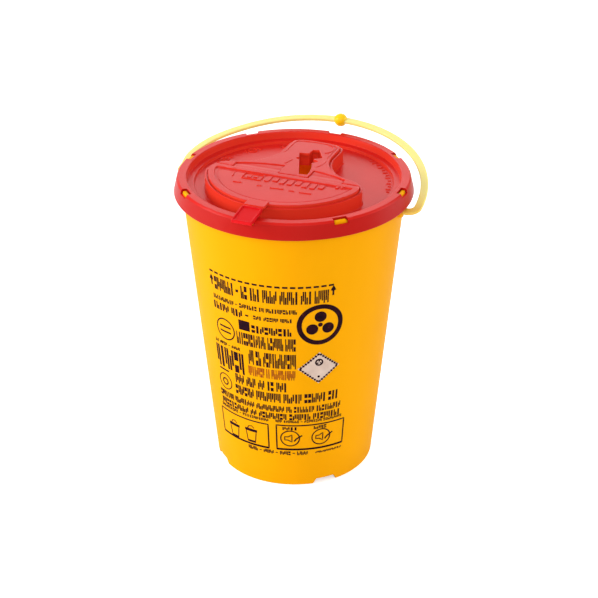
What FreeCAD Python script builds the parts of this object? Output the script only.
import FreeCAD, Part
import Sketcher
import math
import os
import re
from FreeCAD import Placement, Rotation, Vector

# A 0.7 litre sharps container: a tapered bucket, a press-on lid with a hinged closure, and a bail.
# Millimetres. The origin is the middle of the base on the standing surface, +Z is up, the closing
# tab points to -Y, and the bail turns about a line along X.

DIMENSIONS = [
    ("base_radius", 36.06, "outside radius of the bucket at the foot"),
    ("taper_radius", 48.7, "outside radius of the bucket at taper_height"),
    ("taper_height", 131.9, "height where the taper is measured, the lid skirt's lower edge"),
    ("bucket_height", 137.5, "top of the bucket's rim"),
    ("bucket_wall", 1.2, "wall of the bucket"),
    ("floor_underside", 4.2, "height of the raised floor's underside"),
    ("floor_thickness", 1.3, "thickness of the bucket's floor"),
    ("foot_wall", 1.8, "wall of the foot ring"),
    ("foot_notch_height", 2.5, "height of the notches in the foot ring"),
    ("foot_notch_bottom", 11.4, "width of a foot notch at the bottom"),
    ("foot_notch_top", 8.6, "width of a foot notch at its top"),
    ("foot_notch_turn", 45.0, "direction of the first foot notch, degrees"),
    ("foot_notch_count", 4, "number of foot notches"),
    ("rim_bead", 0.5, "how far the bucket's rim stands out of its wall"),
    ("lug_radius", 50.25, "outside radius of the snap lugs"),
    ("lug_width", 5.2, "width of a snap lug"),
    ("lug_underside", 134.6, "height of a snap lug's underside"),
    ("lug_nose_radius", 48.6, "radius where a lug's raised nose starts"),
    ("lug_nose_top", 138.4, "top of a lug's raised nose"),
    ("window_width", 6.3, "width of a window in the lid's skirt"),
    ("window_sill", 137.0, "height of a window's lower edge"),
    ("window_inner_radius", 48.2, "radius where a window starts in the rim"),
    ("snap_count", 8, "number of lugs and windows"),
    ("lid_radius", 52.5, "outside radius of the lid's skirt at its lower edge"),
    ("lid_top", 139.1, "top of the lid's rim"),
    ("lid_floor", 134.6, "top of the lid's sunken floor"),
    ("lid_ledge", 136.0, "top of the step round the floor"),
    ("lid_wall", 1.2, "wall of the lid"),
    ("floor_radius", 43.2, "radius of the lid's sunken floor"),
    ("ledge_inner_radius", 43.4, "inner radius of the step round the floor"),
    ("ledge_outer_radius", 46.2, "outer radius of the step round the floor"),
    ("rim_inner_radius", 46.7, "inner radius of the rim's flat top"),
    ("rim_outer_radius", 50.3, "outer radius of the rim's flat top"),
    ("rim_side_radius", 51.0, "outside radius of the rim under its outer edge"),
    ("rim_edge_drop", 0.9, "height of the rim's sloped outer edge"),
    ("plug_inner_low", 45.8, "plug that fits inside the bucket: inner radius at its lower edge"),
    ("plug_inner_high", 45.7, "plug: inner radius under the ledge"),
    ("plug_outer_low", 47.0, "plug: outer radius at its lower edge"),
    ("plug_outer_high", 47.2, "plug: outer radius under the rim"),
    ("plug_depth", 0.6, "how far the plug reaches below the floor's underside"),
    ("underside_radius", 44.5, "radius of the floor's underside"),
    ("underside_step", 44.7, "radius of the step's underside"),
    ("skirt_inner_high", 49.9, "inner radius of the skirt under the rim"),
    ("skirt_inner_drop", 0.6, "height of the sloped corner inside the skirt"),
    ("skirt_inner_lean", 0.4, "width of the sloped corner inside the skirt"),
    ("collar_top", 141.0, "top edge of the collar round the chute"),
    ("collar_wall", 1.0, "wall of the collar at its top"),
    ("seat_width", 1.4, "width of the seat inside the collar"),
    ("seat_top", 140.1, "height of the seat inside the collar"),
    ("closure_top", 142.0, "top of the closure plate and flap"),
    ("closure_inset", 1.3, "how far the closure lies inside the collar's outline"),
    ("front_radius", 37.0, "collar: radius of the front arc"),
    ("front_centre", -3.9, "collar: y of the front arc's centre"),
    ("tip_radius", 10.0, "collar: radius at the two side tips"),
    ("tip_angle", -18.0, "collar: direction of the tips from the front arc's centre, degrees"),
    ("neck_radius", 20.0, "collar: radius of the hollow neck"),
    ("neck_half_width", 12.7, "collar: half width at the neck"),
    ("shoulder_radius", 5.0, "collar: radius at the two back corners"),
    ("crown_radius", 40.0, "collar: radius of the back edge"),
    ("crown_top", 31.6, "collar: y of the back edge"),
    ("plate_front", 0.4, "y of the fixed plate's bowed front edge in the middle"),
    ("plate_bow_half", 33.1, "half width over which the front edge's bow is measured"),
    ("plate_bow", 8.1, "how far the front edge falls back over that half width"),
    ("plate_tip_front", -7.9, "y of the fixed plate's front edge outside the straps"),
    ("tongue_left", -4.2, "left side of the fixed plate's middle tongue"),
    ("tongue_right", 9.6, "right side of the tongue"),
    ("tongue_front", -8.0, "front of the tongue"),
    ("sleeve_left", -5.0, "left side of the sleeve under the slot"),
    ("sleeve_right", 9.2, "right side of the sleeve"),
    ("sleeve_front", -7.2, "front of the sleeve"),
    ("sleeve_back", 22.6, "back of the sleeve"),
    ("sleeve_depth", 4.0, "how far the sleeve reaches below the plate"),
    ("sleeve_overlap", 0.5, "how far the sleeve reaches up into the plate"),
    ("flap_thickness", 1.6, "thickness of the flap"),
    ("flap_back", -8.4, "y of the flap's back edge"),
    ("lip_inset", 2.8, "sealing lip under the flap: its distance inside the collar's outline"),
    ("lip_wall", 1.0, "wall of the sealing lip"),
    ("lip_depth", 2.5, "depth of the sealing lip"),
    ("lip_back", -10.4, "y where the sealing lip ends"),
    ("strap_left_inner", -4.6, "inner side of the left living-hinge strap"),
    ("strap_right_inner", 10.0, "inner side of the right living-hinge strap"),
    ("strap_outer", 25.0, "outer side of both straps"),
    ("strap_top", 141.6, "top of the living-hinge straps"),
    ("strap_thickness", 0.5, "thickness of the living-hinge straps"),
    ("tab_width", 9.2, "width of the closing tab"),
    ("tab_root_back", -37.6, "y where the tab's root starts on the flap"),
    ("tab_root_front", -43.5, "y where the tab's root ends"),
    ("tab_root_low", 141.3, "underside of the tab's root"),
    ("tab_root_height", 1.2, "height of the tab's root"),
    ("fold_front", -44.35, "y where the thin fold ends under the free tab"),
    ("fold_margin", 0.3, "how far the fold is narrower than the tab on each side"),
    ("fold_thickness", 0.5, "thickness of the fold"),
    ("tab_pivot_y", -44.5, "y of the free tab's upper end"),
    ("tab_pivot_z", 141.7, "height of the middle of the free tab's plate at its upper end"),
    ("tab_gap", 0.15, "gap between that end and the free tab"),
    ("tab_length", 11.7, "length of the free tab"),
    ("tab_slope", 8.0, "slope of the free tab, degrees"),
    ("tab_thickness", 1.0, "thickness of the free tab's panel"),
    ("tab_frame_width", 0.8, "width of the raised frame round the panel"),
    ("tab_frame_height", 0.45, "height of the raised frame over the panel"),
    ("pivot_height", 129.8, "height of the bail's pivot line"),
    ("eye_radius", 3.0, "outside radius of a pivot eye"),
    ("eye_reach", 50.5, "distance of a pivot eye's outer face from the axis"),
    ("eye_bore", 1.25, "radius of the hole in a pivot eye"),
    ("eye_sink", 0.95, "how far a pivot eye starts inside the wall's outer face"),
    ("bore_depth", 7.0, "depth of the cut that makes the hole"),
    ("pin_radius", 1.17, "radius of the bail's pins"),
    ("pin_end", 51.5, "distance from the axis where a pin meets the strap"),
    ("pin_head_radius", 1.9, "radius of the head on a pin's inner end"),
    ("pin_head_length", 0.9, "length of that head"),
    ("pin_head_play", 0.45, "gap between the head and the bucket's wall"),
    ("bail_top_radius", 58.2, "bail: radius of the top arc"),
    ("bail_side_radius", 54.3, "bail: radius of the side arcs"),
    ("bail_blend_angle", 64.6, "bail: where the top arc meets the side arcs, degrees"),
    ("bail_corner", 4.0, "bail: radius of the corner that turns in to the pin"),
    ("bail_inner_end", 50.9, "bail: distance from the axis where the strap's end faces the eye"),
    ("bail_width", 3.4, "width of the bail's strap, in its own plane"),
    ("bail_thickness", 1.6, "thickness of the bail's strap"),
    ("bead_radius", 3.1, "radius of the bead in the middle of the bail"),
    ("bail_tilt", 12.6, "rest angle of the bail above the level, towards +Y, degrees"),
    ("label_height", 65.0, "height of the hazard label's middle"),
    ("label_half_width", 9.3, "half diagonal of the hazard label, round the bucket"),
    ("label_half_height", 8.2, "half diagonal of the hazard label, up the bucket"),
    ("label_azimuth", -53.0, "direction of the hazard label's middle, degrees from +X"),
    ("label_thickness", 0.2, "thickness of the hazard label"),
    ("label_reach", 60.0, "length of the prism that cuts the label's outline"),
]

# Needle-remover slot: a tapering slot with two teeth on one side and a nick on the other.
SLOT_OUTLINE = [
    (4.7, -5.9), (8.5, -5.3), (8.3, -2.6), (7.7, 1.2), (5.7, 6.7), (7.9, 9.3), (4.7, 11.2),
    (7.9, 13.7), (3.6, 21.2), (0.8, 20.5), (0.6, 16.3), (-3.7, 15.5), (-2.0, 11.2), (-3.1, 9.6),
    (-0.9, 8.4),
]
# Half size of the blocks that trim the closure, larger than the lid.
TRIM = 60

doc = FreeCAD.newDocument("sharps_container")
sheet = doc.addObject("Spreadsheet::Sheet", "dims")
for row, (alias, value, note) in enumerate(DIMENSIONS, 1):
    sheet.set(f"A{row}", note)
    sheet.set(f"B{row}", str(value))
    sheet.setAlias(f"B{row}", alias)
doc.recompute()


# ---------------------------------------------------------------- sheet and sketches
# Sizes are written as expressions in the sheet's own names, such as "lid_top - lid_wall".


def cells(expression):
    """The expression with every name turned into a cell of the sheet."""
    return re.sub(r"[a-z]\w+", lambda name: "dims." + name.group(), expression)


def size(expression):
    """Value of an expression now."""
    return float(sheet.evalExpression(cells(expression)))


def bind(feature, prop, expression):
    """Bind a feature's property to the sheet."""
    feature.setExpression(prop, cells(expression))


def cone_radius(height):
    """Expression for the outside radius of the bucket's taper at a height."""
    return f"(base_radius + (taper_radius - base_radius) * ({height}) / taper_height)"


def new_body(label):
    body = doc.addObject("PartDesign::Body", label)
    body.Label = label
    return body


def origin_part(body, role):
    """Plane or axis of the body's own origin."""
    return [feature for feature in body.Origin.OriginFeatures if feature.Role == role][0]


def add_sketch(body, name, role, geometry, offset=None, turn=0):
    """Sketch on a plane of the body's origin, moved along the plane's normal by offset."""
    sketch = body.newObject("Sketcher::SketchObject", name)
    sketch.AttachmentSupport = (origin_part(body, role), "")
    sketch.MapMode = "FlatFace"
    sketch.AttachmentOffset = Placement(Vector(0, 0, 0), Rotation(Vector(0, 1, 0), turn))
    if offset:
        bind(sketch, "AttachmentOffset.Base.z", offset)
    sketch.addGeometry(geometry, False)
    doc.recompute()
    return sketch


def hold(sketch, kind, geometry, point, expression):
    """Hold a point's distance from the sketch's origin, or a radius, to an expression."""
    target = (geometry,) if kind == "Radius" else (-1, 1, geometry, point)
    index = sketch.addConstraint(Sketcher.Constraint(kind, *target, size(expression)))
    name = f"{kind}_{geometry}_{point}"
    sketch.renameConstraint(index, name)
    bind(sketch, "Constraints." + name, expression)


def polyline(points):
    """Closed run of straight edges through (x, y) points."""
    vectors = [Vector(x, y, 0) for x, y in points]
    ends = vectors[1:] + vectors[:1]
    return [Part.LineSegment(a, b) for a, b in zip(vectors, ends)]


def polygon_sketch(body, name, role, points, offset=None, turn=0):
    """Sketch of a closed polygon whose every corner is held to a pair of expressions."""
    corners = [(size(x), size(y)) for x, y in points]
    sketch = add_sketch(body, name, role, polyline(corners), offset, turn)
    count = len(points)
    for i in range(count):
        sketch.addConstraint(Sketcher.Constraint("Coincident", i, 2, (i + 1) % count, 1))
    for i, (x, y) in enumerate(points):
        hold(sketch, "DistanceX", i, 1, x)
        hold(sketch, "DistanceY", i, 1, y)
    doc.recompute()
    return sketch


def rectangle_sketch(body, name, role, x0, x1, y0, y1, offset=None):
    corners = [(x0, y0), (x1, y0), (x1, y1), (x0, y1)]
    return polygon_sketch(body, name, role, corners, offset)


def circle_sketch(body, name, role, x, y, radius, offset=None):
    """Sketch of a circle held to three expressions."""
    circle = Part.Circle(Vector(size(x), size(y), 0), Vector(0, 0, 1), size(radius))
    sketch = add_sketch(body, name, role, [circle], offset)
    hold(sketch, "DistanceX", 0, 3, x)
    hold(sketch, "DistanceY", 0, 3, y)
    hold(sketch, "Radius", 0, 0, radius)
    doc.recompute()
    return sketch


# ---------------------------------------------------------------- features


def pad(body, name, sketch, length, reverse=False):
    feature = body.newObject("PartDesign::Pad", name)
    feature.Profile = sketch
    bind(feature, "Length", length)
    feature.Reversed = reverse
    doc.recompute()
    return feature


def pocket(body, name, sketch, length, reverse=False):
    """Cut, checking that the cut really takes material away."""
    before = body.Shape.Volume
    feature = body.newObject("PartDesign::Pocket", name)
    feature.Profile = sketch
    bind(feature, "Length", length)
    feature.Reversed = reverse
    doc.recompute()
    if body.Shape.Volume > before - 0.01:
        raise RuntimeError(name + " cuts nothing")
    return feature


def revolve(body, name, sketch):
    """Full turn round the sketch's vertical axis."""
    feature = body.newObject("PartDesign::Revolution", name)
    feature.Profile = sketch
    feature.ReferenceAxis = (sketch, ["V_Axis"])
    feature.Angle = 360
    doc.recompute()
    return feature


def repeat_round_z(body, name, features, count):
    """Polar pattern of features round the body's own Z axis."""
    pattern = body.newObject("PartDesign::PolarPattern", name)
    pattern.Originals = features
    pattern.Axis = (origin_part(body, "Z_Axis"), [""])
    pattern.Angle = 360
    bind(pattern, "Occurrences", count)
    body.Tip = pattern
    doc.recompute()
    return pattern


def mirror_in_x(body, name, features):
    """Features repeated on the other side of the body's YZ plane."""
    mirrored = body.newObject("PartDesign::Mirrored", name)
    mirrored.Originals = features
    mirrored.MirrorPlane = (origin_part(body, "YZ_Plane"), [""])
    body.Tip = mirrored
    doc.recompute()
    return mirrored


# ---------------------------------------------------------------- bucket


def bucket_profile():
    """Half section of the bucket: foot ring, raised floor, tapered wall and rim bead."""
    floor_top = "floor_underside + floor_thickness"
    bead = cone_radius("lug_underside") + " + rim_bead"
    return [
        ("0", "floor_underside"),
        ("base_radius - foot_wall", "floor_underside"),
        ("base_radius - foot_wall", "0"),
        ("base_radius", "0"),
        (cone_radius("lug_underside"), "lug_underside"),
        (bead, "lug_underside + rim_bead"),
        (bead, "bucket_height"),
        (cone_radius("bucket_height") + " - bucket_wall", "bucket_height"),
        (cone_radius(floor_top) + " - bucket_wall", floor_top),
        ("0", floor_top),
    ]


def add_pivot_eye(body, name, side):
    """Round boss on the bucket's wall with a through bore; side is 1 or -1."""
    start = cone_radius("pivot_height") + " - eye_sink"
    boss = circle_sketch(body, "eye_" + name, "YZ_Plane", "0", "pivot_height", "eye_radius",
                         f"{side} * ({start})")
    pad(body, f"eye_{name}_pad", boss, f"eye_reach - ({start})", reverse=side < 0)
    bore = circle_sketch(body, "bore_" + name, "YZ_Plane", "0", "pivot_height", "eye_bore",
                         f"{side} * (eye_reach - bore_depth)")
    pocket(body, f"bore_{name}_cut", bore, "bore_depth + 1", reverse=side > 0)


def make_bucket():
    body = new_body("bucket_body")
    revolve(body, "bucket_shell", polygon_sketch(body, "bucket_section", "XZ_Plane", bucket_profile()))
    add_pivot_eye(body, "right", 1)
    add_pivot_eye(body, "left", -1)

    # One snap lug with a nose that stands up into the lid's window, then all of them round the rim.
    lug = rectangle_sketch(body, "lug", "XY_Plane", cone_radius("bucket_height") + " - bucket_wall / 2",
                           "lug_radius", "-lug_width / 2", "lug_width / 2", offset="lug_underside")
    lug_pad = pad(body, "lug_pad", lug, "bucket_height - lug_underside")
    nose = rectangle_sketch(body, "lug_nose", "XY_Plane", "lug_nose_radius", "lug_radius",
                            "-lug_width / 2", "lug_width / 2", offset="lug_underside")
    nose_pad = pad(body, "lug_nose_pad", nose, "lug_nose_top - lug_underside")
    repeat_round_z(body, "lugs", [lug_pad, nose_pad], "snap_count")

    # One tapered notch through the foot ring, then all of them.
    outline = [
        ("-foot_notch_bottom / 2", "-0.01"),
        ("foot_notch_bottom / 2", "-0.01"),
        ("foot_notch_top / 2", "foot_notch_height"),
        ("-foot_notch_top / 2", "foot_notch_height"),
    ]
    notch = polygon_sketch(body, "foot_notch", "XZ_Plane", outline, turn=size("foot_notch_turn"))
    notch_cut = pocket(body, "foot_notch_cut", notch, "taper_radius", reverse=True)
    repeat_round_z(body, "foot_notches", [notch_cut], "foot_notch_count")
    return body


# ---------------------------------------------------------------- closure outline


def arc(centre, radius, start, end, mirrored=False):
    """Arc from start to end degrees, mirrored in X where asked."""
    if mirrored:
        centre = Vector(-centre.x, centre.y, 0)
        start, end = 180 - end, 180 - start
    circle = Part.Circle(centre, Vector(0, 0, 1), radius)
    return Part.ArcOfCircle(circle, math.radians(start), math.radians(end))


def direction(vector):
    """Angle of a vector in the XY plane, degrees."""
    return math.degrees(math.atan2(vector.y, vector.x))


def closure_curve(inset):
    """Edges of the collar's outline moved inwards by inset, all tangent, symmetrical in X.

    A front arc, a tip on each side, a hollow neck, straight sides, back corners and a crown.
    """
    tip_angle = size("tip_angle")
    out = Vector(math.cos(math.radians(tip_angle)), math.sin(math.radians(tip_angle)), 0)
    front_centre = Vector(0, size("front_centre"), 0)
    tip_centre = front_centre + out * size("front_radius - tip_radius")
    neck_x = size("neck_half_width + neck_radius")
    neck_rise = math.sqrt(size("tip_radius + neck_radius") ** 2 - (neck_x - tip_centre.x) ** 2)
    neck_centre = Vector(neck_x, tip_centre.y + neck_rise, 0)
    crown_centre = Vector(0, size("crown_top - crown_radius"), 0)
    corner_x = size("neck_half_width - shoulder_radius")
    corner_rise = math.sqrt(size("crown_radius - shoulder_radius") ** 2 - corner_x ** 2)
    corner_centre = Vector(corner_x, crown_centre.y + corner_rise, 0)

    meet = direction(neck_centre - tip_centre)
    crown_end = direction(corner_centre - crown_centre)
    side = size("neck_half_width") - inset
    edges = [arc(front_centre, size("front_radius") - inset, 180 - tip_angle, 360 + tip_angle)]
    for mirrored in (False, True):
        side_x = -side if mirrored else side
        edges.append(arc(tip_centre, size("tip_radius") - inset, tip_angle, meet, mirrored))
        edges.append(arc(neck_centre, size("neck_radius") + inset, 180, 180 + meet, mirrored))
        edges.append(Part.LineSegment(Vector(side_x, neck_centre.y, 0), Vector(side_x, corner_centre.y, 0)))
        edges.append(arc(corner_centre, size("shoulder_radius") - inset, 0, crown_end, mirrored))
    edges.append(arc(crown_centre, size("crown_radius") - inset, crown_end, 180 - crown_end))
    return edges


def bow_radius():
    """Radius of the fixed plate's bowed front edge."""
    half = size("plate_bow_half")
    return (half ** 2 + size("plate_bow") ** 2) / (2 * size("plate_bow"))


def bow_y(x):
    """The bowed front edge's y at an x."""
    return size("plate_front") - bow_radius() + math.sqrt(bow_radius() ** 2 - x ** 2)


def bow_arc(x0, x1):
    """Piece of the bowed front edge between two x values, x0 below x1."""
    centre = Vector(0, size("plate_front") - bow_radius(), 0)
    start = Vector(x1, bow_y(x1), 0)
    end = Vector(x0, bow_y(x0), 0)
    return arc(centre, bow_radius(), direction(start - centre), direction(end - centre))


def run(points):
    """Open run of straight edges through (x, y) points."""
    vectors = [Vector(x, y, 0) for x, y in points]
    return [Part.LineSegment(a, b) for a, b in zip(vectors, vectors[1:])]


# ---------------------------------------------------------------- lid


def lid_profile():
    """Half section of the lid: sunken floor, ledge, plug wall, rim and flared skirt."""
    floor_low = "lid_floor - lid_wall"
    ledge_low = "lid_ledge - lid_wall"
    rim_low = "lid_top - lid_wall"
    return [
        ("0", floor_low),
        ("underside_radius", floor_low),
        ("underside_step", ledge_low),
        ("plug_inner_high", ledge_low),
        ("plug_inner_low", floor_low + " - plug_depth"),
        ("plug_outer_low", floor_low + " - plug_depth"),
        ("plug_outer_high", rim_low),
        ("skirt_inner_high", rim_low),
        ("skirt_inner_high + skirt_inner_lean", rim_low + " - skirt_inner_drop"),
        ("lid_radius - lid_wall", "taper_height"),
        ("lid_radius", "taper_height"),
        ("rim_side_radius", "lid_top - rim_edge_drop"),
        ("rim_outer_radius", "lid_top"),
        ("rim_inner_radius", "lid_top"),
        ("ledge_outer_radius", "lid_ledge"),
        ("ledge_inner_radius", "lid_ledge"),
        ("floor_radius", "lid_floor"),
        ("0", "lid_floor"),
    ]


def make_lid():
    body = new_body("lid")
    revolve(body, "lid_shell", polygon_sketch(body, "lid_section", "XZ_Plane", lid_profile()))

    # Collar: a solid block on the outline, opened in two steps so that a seat is left inside.
    outline = add_sketch(body, "collar_outline", "XY_Plane", closure_curve(0), "lid_floor - lid_wall")
    pad(body, "collar", outline, "collar_top - lid_floor + lid_wall")
    chute = add_sketch(body, "chute_outline", "XY_Plane", closure_curve(size("collar_wall + seat_width")),
                       "collar_top + 1")
    pocket(body, "chute", chute, "collar_top - lid_floor + lid_wall + 2")
    recess = add_sketch(body, "seat_outline", "XY_Plane", closure_curve(size("collar_wall")),
                        "collar_top + 1")
    pocket(body, "seat", recess, "collar_top + 1 - seat_top")

    # One window at the rim's outer corner, then all of them.
    window = rectangle_sketch(body, "window", "XY_Plane", "window_inner_radius", "lid_radius + 2",
                              "-window_width / 2", "window_width / 2", offset="lid_top + 1")
    cut = pocket(body, "window_cut", window, "lid_top + 1 - window_sill")
    repeat_round_z(body, "windows", [cut], "snap_count")
    return body


# ---------------------------------------------------------------- closure


def front_trim():
    """Region in front of the fixed plate: tips, bowed edge behind each strap, and the tongue."""
    strap = size("strap_outer + tongue_left - strap_left_inner")
    left = size("tongue_left")
    right = size("tongue_right")
    tip_front = size("plate_tip_front")
    tongue_front = size("tongue_front")
    edges = run([(strap, bow_y(strap)), (strap, tip_front), (TRIM, tip_front), (TRIM, -TRIM),
                 (-TRIM, -TRIM), (-TRIM, tip_front), (-strap, tip_front), (-strap, bow_y(strap))])
    edges.append(bow_arc(-strap, left))
    edges += run([(left, bow_y(left)), (left, tongue_front), (right, tongue_front), (right, bow_y(right))])
    edges.append(bow_arc(right, strap))
    return edges


def make_closure_plate():
    """Fixed back plate with the needle-remover slot and the sleeve under it."""
    body = new_body("closure_plate")
    outline = add_sketch(body, "plate_outline", "XY_Plane", closure_curve(size("closure_inset")), "seat_top")
    pad(body, "plate", outline, "closure_top - seat_top")
    front = add_sketch(body, "plate_front_edge", "XY_Plane", front_trim(), "closure_top + 1")
    pocket(body, "plate_front_cut", front, "closure_top + 2 - seat_top")
    sleeve = rectangle_sketch(body, "sleeve_outline", "XY_Plane", "sleeve_left", "sleeve_right",
                              "sleeve_front", "sleeve_back", offset="seat_top - sleeve_depth")
    pad(body, "sleeve", sleeve, "sleeve_depth + sleeve_overlap")
    slot = add_sketch(body, "slot_outline", "XY_Plane", polyline(SLOT_OUTLINE), "closure_top + 1")
    pocket(body, "slot", slot, "closure_top - seat_top + sleeve_depth + 2")
    return body


def make_closure_flap():
    """Moving flap: plate, sealing lip under it, and the root of the closing tab."""
    body = new_body("closure_flap")
    underside = "closure_top - flap_thickness"
    lip_low = underside + " - lip_depth"
    inner = "lip_inset + lip_wall"
    lip_edges = closure_curve(size("lip_inset")) + closure_curve(size(inner))
    lip_outline = add_sketch(body, "lip_outline", "XY_Plane", lip_edges, lip_low)
    pad(body, "lip", lip_outline, "lip_depth")
    lip_trim = rectangle_sketch(body, "lip_trim", "XY_Plane", str(-TRIM), str(TRIM), "lip_back", str(TRIM),
                                offset=underside)
    pocket(body, "lip_back_cut", lip_trim, "lip_depth")
    outline = add_sketch(body, "flap_outline", "XY_Plane", closure_curve(size("closure_inset")), underside)
    pad(body, "flap", outline, "flap_thickness")
    back = rectangle_sketch(body, "flap_back_edge", "XY_Plane", str(-TRIM), str(TRIM), "flap_back", str(TRIM),
                            offset="closure_top")
    pocket(body, "flap_back_cut", back, "flap_thickness")
    root = rectangle_sketch(body, "tab_root", "XY_Plane", "-tab_width / 2", "tab_width / 2", "tab_root_front",
                            "tab_root_back", offset="tab_root_low")
    pad(body, "tab_root_pad", root, "tab_root_height")
    return body


def make_hinge_strap(label, x0, x1):
    """Thin web that joins the flap's back edge to the plate's bowed front edge."""
    body = new_body(label)
    left = size(x0)
    right = size(x1)
    back = size("flap_back")
    edges = run([(left, bow_y(left)), (left, back), (right, back), (right, bow_y(right))])
    edges.append(bow_arc(left, right))
    outline = add_sketch(body, label + "_outline", "XY_Plane", edges, "strap_top - strap_thickness")
    pad(body, label + "_web", outline, "strap_thickness")
    return body


# ---------------------------------------------------------------- closing tab


def box(name, x0, y0, z0, width, depth, height):
    """Part::Box with its corner and its sizes bound to expressions."""
    feature = doc.addObject("Part::Box", name)
    feature.Label = name
    for prop, expression in (("Placement.Base.x", x0), ("Placement.Base.y", y0), ("Placement.Base.z", z0),
                             ("Length", width), ("Width", depth), ("Height", height)):
        bind(feature, prop, expression)
    return feature


def boolean(kind, name, base, tool):
    """Part::Cut or Part::Common of two objects."""
    feature = doc.addObject(kind, name)
    feature.Label = name
    feature.Base = base
    feature.Tool = tool
    doc.recompute()
    return feature


def make_latch_fold():
    """Thin fold between the tab's root on the flap and the free tab."""
    fold = box("latch_fold", "fold_margin - tab_width / 2", "fold_front", "tab_pivot_z - fold_thickness / 2",
               "tab_width - 2 * fold_margin", "tab_root_front - fold_front", "fold_thickness")
    doc.recompute()
    return fold


def make_latch_tab():
    """Free tab that slopes over the rim, with a raised frame round a sunken panel."""
    plate = box("latch_tab_plate", "-tab_width / 2", "-tab_gap - tab_length", "-tab_thickness / 2",
                "tab_width", "tab_length", "tab_thickness + tab_frame_height")
    panel = box("latch_tab_panel", "tab_frame_width - tab_width / 2",
                "tab_frame_width - tab_gap - tab_length", "tab_thickness / 2",
                "tab_width - 2 * tab_frame_width", "tab_length", "tab_thickness")
    tab = boolean("Part::Cut", "latch_tab", plate, panel)
    tab.Placement = Placement(Vector(0, 0, 0), Rotation(Vector(1, 0, 0), size("tab_slope")))
    bind(tab, "Placement.Base.y", "tab_pivot_y")
    bind(tab, "Placement.Base.z", "tab_pivot_z")
    bind(tab, "Placement.Rotation.Angle", "tab_slope")
    doc.recompute()
    return tab


# ---------------------------------------------------------------- bail


def bail_curve():
    """Centre line of the bail's right half in its own plane, from the middle down to the pin.

    The corner arc touches the side arc from inside, and the pin's line y = 0 from above.
    """
    top = size("bail_top_radius")
    side = size("bail_side_radius")
    corner = size("bail_corner")
    blend = size("bail_blend_angle")
    out = Vector(math.cos(math.radians(blend)), math.sin(math.radians(blend)), 0)
    side_centre = out * (top - side)
    corner_run = math.sqrt((side - corner) ** 2 - (corner - side_centre.y) ** 2)
    corner_centre = Vector(side_centre.x + corner_run, corner, 0)
    turn = direction(corner_centre - side_centre)
    pin_start = Vector(corner_centre.x, 0, 0)
    return [
        arc(Vector(0, 0, 0), top, blend, 90),
        arc(side_centre, side, turn, blend),
        arc(corner_centre, corner, -90, turn),
        Part.LineSegment(pin_start, Vector(size("bail_inner_end"), 0, 0)),
    ]


def make_bail():
    """Flat strap bent into an arch, with a bead in the middle and a headed pin at each end."""
    body = new_body("bail_handle")
    path = add_sketch(body, "bail_path", "XY_Plane", bail_curve())
    inner = "bail_top_radius - bail_width / 2"
    outer = "bail_top_radius + bail_width / 2"
    section = rectangle_sketch(body, "bail_section", "YZ_Plane", inner, outer, "-bail_thickness / 2",
                               "bail_thickness / 2")
    strap = body.newObject("PartDesign::AdditivePipe", "bail_strap")
    strap.Profile = section
    strap.Spine = (path, [])
    doc.recompute()

    head_outer = cone_radius("pivot_height") + " - bucket_wall - pin_head_play"
    head_inner = head_outer + " - pin_head_length"
    pin_circle = circle_sketch(body, "pin_circle", "YZ_Plane", "0", "0", "pin_radius", head_inner)
    pin = pad(body, "pin", pin_circle, f"pin_end - ({head_inner})")
    head_circle = circle_sketch(body, "head_circle", "YZ_Plane", "0", "0", "pin_head_radius", head_inner)
    head = pad(body, "pin_head", head_circle, "pin_head_length")
    mirror_in_x(body, "other_half", [strap, pin, head])

    # The bead is turned so that its seam looks away from the strap.
    bead = body.newObject("PartDesign::AdditiveSphere", "bead")
    bind(bead, "Radius", "bead_radius")
    bead.AttachmentSupport = (origin_part(body, "XY_Plane"), "")
    bead.MapMode = "FlatFace"
    bead.AttachmentOffset = Placement(Vector(0, 0, 0), Rotation(Vector(0, 0, 1), 90))
    bind(bead, "AttachmentOffset.Base.y", "bail_top_radius")
    body.Tip = bead
    body.Placement = Placement(Vector(0, 0, 0), Rotation(Vector(1, 0, 0), size("bail_tilt")))
    bind(body, "Placement.Base.z", "pivot_height")
    bind(body, "Placement.Rotation.Angle", "bail_tilt")
    doc.recompute()
    return body


# ---------------------------------------------------------------- label


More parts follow.
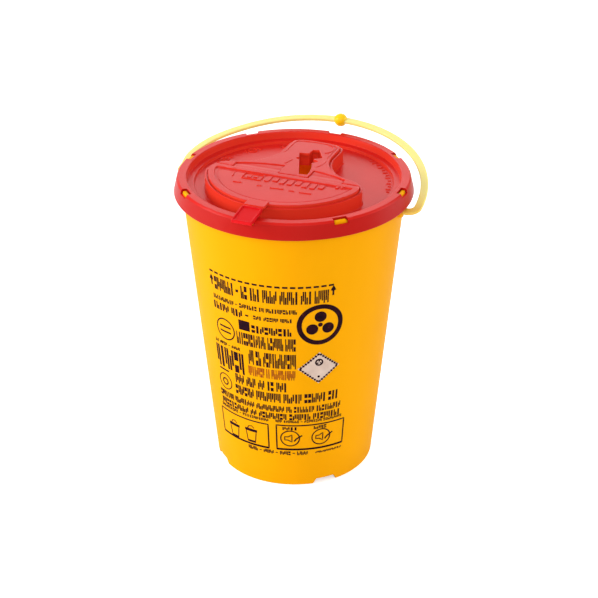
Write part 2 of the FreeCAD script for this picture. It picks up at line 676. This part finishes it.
def taper_cone(name, extra):
    """Cone with the bucket's outer taper, grown by extra."""
    cone = doc.addObject("Part::Cone", name)
    bind(cone, "Radius1", "base_radius + " + extra)
    bind(cone, "Radius2", "taper_radius + " + extra)
    bind(cone, "Height", "taper_height")
    return cone


def make_label():
    """Diamond-shaped sheet that lies on the bucket's taper."""
    wide = size("label_half_width")
    tall = size("label_half_height")
    diamond = doc.addObject("Sketcher::SketchObject", "label_outline")
    diamond.addGeometry(polyline([(0, -tall), (wide, 0), (0, tall), (-wide, 0)]), False)
    # Upright, with its normal along the label's direction from the bucket's axis.
    upright = Rotation(Vector(0, 1, 0), Vector(0, 0, 1), Vector(1, 0, 0), "XYZ")
    round_z = Rotation(Vector(0, 0, 1), size("label_azimuth"))
    diamond.Placement = Placement(Vector(0, 0, size("label_height")), round_z.multiply(upright))
    prism = doc.addObject("Part::Extrusion", "label_prism")
    prism.Base = diamond
    prism.DirMode = "Normal"
    prism.Solid = True
    bind(prism, "LengthFwd", "label_reach")
    film = boolean("Part::Cut", "label_film", taper_cone("label_outside", "label_thickness"),
                   taper_cone("label_inside", "0"))
    return boolean("Part::Common", "hazard_label", film, prism)


# ---------------------------------------------------------------- build and write

parts = [
    make_bucket(),
    make_lid(),
    make_closure_plate(),
    make_closure_flap(),
    make_hinge_strap("hinge_strap_left", "-strap_outer", "strap_left_inner"),
    make_hinge_strap("hinge_strap_right", "strap_right_inner", "strap_outer"),
    make_latch_fold(),
    make_latch_tab(),
    make_bail(),
    make_label(),
]
doc.recompute()

for item in doc.Objects:
    if "Invalid" in item.State or "Error" in item.State:
        raise RuntimeError(f"{item.Label} failed: {item.State}")

os.makedirs("parts", exist_ok=True)
for item in parts:
    shape = item.Shape
    if shape.isNull() or not shape.isValid():
        raise RuntimeError(item.Label + " has no valid shape")
    print(item.Label, len(shape.Solids), "solid", round(shape.Volume / 1000, 2), "cm3",
          "z", round(shape.BoundBox.ZMin, 2), round(shape.BoundBox.ZMax, 2))
    shape.exportStep(os.path.join("parts", item.Label + ".step"))
